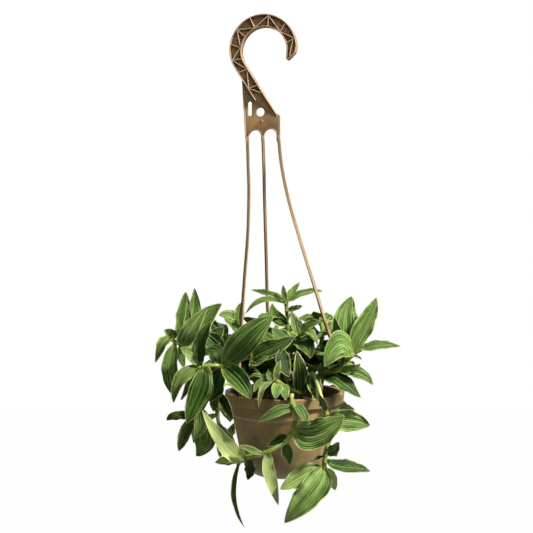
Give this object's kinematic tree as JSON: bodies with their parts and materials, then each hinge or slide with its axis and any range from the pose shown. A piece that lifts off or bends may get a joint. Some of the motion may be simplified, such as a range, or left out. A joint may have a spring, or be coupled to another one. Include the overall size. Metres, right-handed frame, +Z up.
{
  "type": "striped trailing spiderwort in a hanging pot",
  "caption": "Trailing house plant with striped lance-shaped leaves in a brown plastic hanging pot, on a moulded hanger with a ribbed open hook, a flat plate and clip-in arms.",
  "frame": {"origin": "seat of the hook, the highest point inside its curve, where the rail that holds the object touches it", "axes": "+Z up, -Y towards the viewer of the picture, +X to the viewer's right"},
  "size_m": [0.305, 0.2295, 0.639],
  "materials": {
    "tan_plastic": "moulded, satin",
    "potting_soil": "rough, damp",
    "striped_leaf": "satin, ribbed lengthwise"
  },
  "bodies": {
    "root": {"pot": "tan_plastic", "soil": "potting_soil", "hanger": "tan_plastic", "stem_left_low": "striped_leaf", "stem_left_high": "striped_leaf", "stem_left_hanging": "striped_leaf", "stem_left_rim": "striped_leaf", "stem_left_upright": "striped_leaf", "stem_middle": "striped_leaf", "stem_right_back": "striped_leaf", "stem_front_arch": "striped_leaf", "stem_front_trailing": "striped_leaf", "stem_right_trailing": "striped_leaf", "stem_right": "striped_leaf", "stem_back_left": "striped_leaf", "stem_back_middle": "striped_leaf", "stem_back_right": "striped_leaf", "stem_back_upright": "striped_leaf"}
  },
  "joints": []
}
